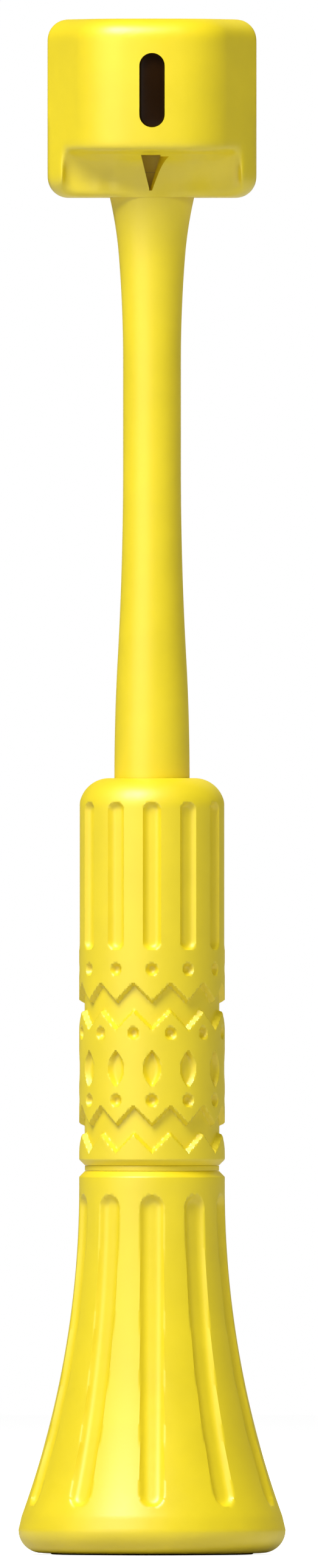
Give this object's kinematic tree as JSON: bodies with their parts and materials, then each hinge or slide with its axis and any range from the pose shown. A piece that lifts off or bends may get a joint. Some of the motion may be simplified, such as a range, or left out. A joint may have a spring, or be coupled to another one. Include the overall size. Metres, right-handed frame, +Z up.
{
  "type": "microchip scanner",
  "caption": "Hand-held yellow wand scanner with a box head, a slim trumpet neck, a relief-moulded grip and a fluted bell base that unscrews.",
  "frame": {"origin": "middle of the foot ring on the surface that the scanner stands on", "axes": "+Z up the wand, -Y out of the head's nose and window, +X to the right seen from the front"},
  "size_m": [0.0558, 0.0558, 0.32],
  "materials": {
    "yellow_plastic": "satin moulded",
    "yellow_grip": "soft moulded",
    "yellow_button": "satin moulded",
    "yellow_seal": "soft matte",
    "dark_plastic": "fine matte",
    "black_rubber": "matte",
    "steel": "turned",
    "screw_steel": "plated",
    "brass_insert": "turned",
    "contact_metal": "plated",
    "cell_wrap": "shrink wrap",
    "board_green": "solder mask",
    "chip_black": "moulded",
    "cable_grey": "extruded",
    "smoked_window": "polished",
    "clear_plastic": "polished",
    "light_white": "moulded",
    "bobbin_white": "moulded",
    "copper_wire": "enamelled wire"
  },
  "bodies": {
    "base": {"bell_shell": "yellow_plastic", "threaded_insert": "brass_insert", "ballast_weight": "steel", "base_cover": "dark_plastic", "foot_ring": "black_rubber", "base_screws": "screw_steel", "cell_holder": "dark_plastic", "spring_plate": "contact_metal", "battery_spring": "contact_metal", "battery_cell": "cell_wrap"},
    "seal": {"joint_seal": "yellow_seal"},
    "handle": {"grip_sleeve": "yellow_grip", "grip_core": "yellow_plastic", "board_carrier": "dark_plastic", "positive_contact": "contact_metal", "main_board": "board_green", "tact_switch": "dark_plastic", "buzzer": "dark_plastic", "board_chips": "chip_black", "grip_cap": "dark_plastic", "neck_nut": "brass_insert", "neck_tube": "yellow_plastic", "neck_liner": "steel", "coil_cable": "cable_grey", "head_front_shell": "yellow_plastic", "head_rear_shell": "yellow_plastic", "head_screws": "screw_steel", "slot_window": "smoked_window", "light_pipe": "clear_plastic", "indicator_lights": "light_white", "coil_bobbin": "bobbin_white", "coil_winding": "copper_wire", "head_board": "board_green"},
    "button": {"scan_button": "yellow_button"}
  },
  "joints": [
    {"name": "handle_turn", "type": "hinge", "parent": "base", "child": "seal", "pos_m": [0, 0, 0.0805], "axis": [0, 0, 1], "range_deg": [0, 360]},
    {"name": "handle_lift", "type": "slide", "parent": "seal", "child": "handle", "axis": [0, 0, 1], "range_m": [0, 0.008]},
    {"name": "scan_press", "type": "slide", "parent": "handle", "child": "button", "axis": [0, -1, 0], "range_m": [0, 0.0008], "stiffness_N_per_m": 1500, "springref_m": -0.0004}
  ],
  "couplings": [
    {"joint": "handle_lift", "follows": "handle_turn", "m_per_rad": 0.0012732}
  ]
}
